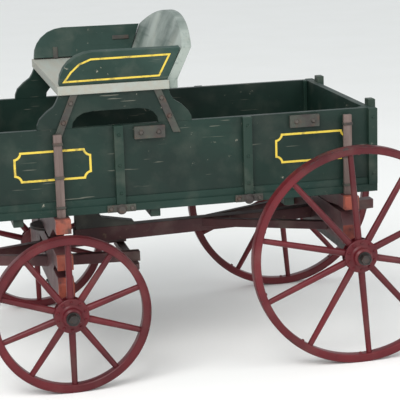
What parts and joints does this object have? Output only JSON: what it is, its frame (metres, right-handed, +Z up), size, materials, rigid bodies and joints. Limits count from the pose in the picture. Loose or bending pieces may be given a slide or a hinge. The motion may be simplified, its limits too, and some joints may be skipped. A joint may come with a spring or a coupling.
{
  "type": "goat wagon",
  "caption": "Small goat wagon with a green board box, spring-less seat, lift-out end gate, steered front gear, spoked wheels and a hinged tongue.",
  "frame": {"origin": "on the ground, under the middle of the whole length and width", "axes": "+X forward to the tongue tip, +Y to the left side, +Z up"},
  "size_m": [2.0763, 0.7762, 0.798],
  "materials": {
    "green_paint": "aged dark green paint, chipped and scratched",
    "olive_paint": "aged olive green paint",
    "faded_green_paint": "faded grey green paint",
    "bare_grey_wood": "bare weathered boards",
    "red_paint": "dark maroon paint, worn",
    "wheel_red": "semi-gloss dark red paint",
    "hub_red": "painted dark red, greasy at the nose",
    "tyre_iron": "iron tyre with worn red paint",
    "dark_iron": "dark iron with old paint and grease",
    "worn_wood": "worn brown grey wood",
    "dark_wood": "dark stained wood"
  },
  "bodies": {
    "wagon": {"box_side_left": "green_paint", "box_side_right": "green_paint", "side_cleats": "olive_paint", "side_sills": "green_paint", "sill_irons": "dark_iron", "rail_blocks": "olive_paint", "box_floor": "green_paint", "box_front_board": "green_paint", "floor_cleats": "olive_paint", "gate_guides": "green_paint", "seat_risers": "green_paint", "seat_board": "bare_grey_wood", "seat_side_left": "green_paint", "seat_side_right": "green_paint", "seat_back": "faded_green_paint", "seat_straps": "olive_paint", "front_bolster": "red_paint", "front_stakes": "worn_wood", "upper_wear_plate": "dark_iron", "king_bolt": "dark_iron", "rear_axle_shaft": "dark_iron", "rear_axle_nuts": "dark_iron", "rear_axle_bed": "red_paint", "rear_bolster": "red_paint", "rear_stakes": "worn_wood", "reach": "red_paint", "reach_plate": "dark_iron", "rear_hounds": "red_paint", "king_block": "dark_wood"},
    "front_gear": {"front_axle_shaft": "dark_iron", "front_axle_nuts": "dark_iron", "front_axle_bed": "red_paint", "front_hound_left": "red_paint", "front_hound_right": "red_paint", "sway_bar": "dark_iron", "sand_board": "red_paint", "lower_wear_plate": "dark_iron", "tongue_pin": "dark_iron"},
    "tongue": {"tongue": "red_paint", "tongue_tip": "dark_iron"},
    "end_gate": {"end_gate": "green_paint", "end_gate_battens": "green_paint"},
    "rear_wheel_left": {"rear_wheel_left_tyre": "tyre_iron", "rear_wheel_left_felloe": "wheel_red", "rear_wheel_left_spokes": "wheel_red", "rear_wheel_left_hub": "hub_red"},
    "rear_wheel_right": {"rear_wheel_right_tyre": "tyre_iron", "rear_wheel_right_felloe": "wheel_red", "rear_wheel_right_spokes": "wheel_red", "rear_wheel_right_hub": "hub_red"},
    "front_wheel_left": {"front_wheel_left_tyre": "tyre_iron", "front_wheel_left_felloe": "wheel_red", "front_wheel_left_spokes": "wheel_red", "front_wheel_left_hub": "hub_red"},
    "front_wheel_right": {"front_wheel_right_tyre": "tyre_iron", "front_wheel_right_felloe": "wheel_red", "front_wheel_right_spokes": "wheel_red", "front_wheel_right_hub": "hub_red"}
  },
  "joints": [
    {"name": "steer", "type": "hinge", "parent": "wagon", "child": "front_gear", "pos_m": [-0.11617, 0, 0.24], "axis": [0, 0, 1], "range_deg": [-38, 38]},
    {"name": "tongue_pitch", "type": "hinge", "parent": "front_gear", "child": "tongue", "pos_m": [0.06783, 0, 0.234], "axis": [0, -1, 0], "range_deg": [0, 65]},
    {"name": "gate_lift", "type": "slide", "parent": "wagon", "child": "end_gate", "axis": [0, 0, 1], "range_m": [0, 0.17]},
    {"name": "rear_left_spin", "type": "hinge", "parent": "wagon", "child": "rear_wheel_left", "pos_m": [-0.78417, 0.3385, 0.254], "axis": [0, 1, 0], "continuous": true},
    {"name": "rear_right_spin", "type": "hinge", "parent": "wagon", "child": "rear_wheel_right", "pos_m": [-0.78417, -0.3385, 0.254], "axis": [0, 1, 0], "continuous": true},
    {"name": "front_left_spin", "type": "hinge", "parent": "front_gear", "child": "front_wheel_left", "pos_m": [-0.11617, 0.3385, 0.178], "axis": [0, 1, 0], "continuous": true},
    {"name": "front_right_spin", "type": "hinge", "parent": "front_gear", "child": "front_wheel_right", "pos_m": [-0.11617, -0.3385, 0.178], "axis": [0, 1, 0], "continuous": true}
  ]
}
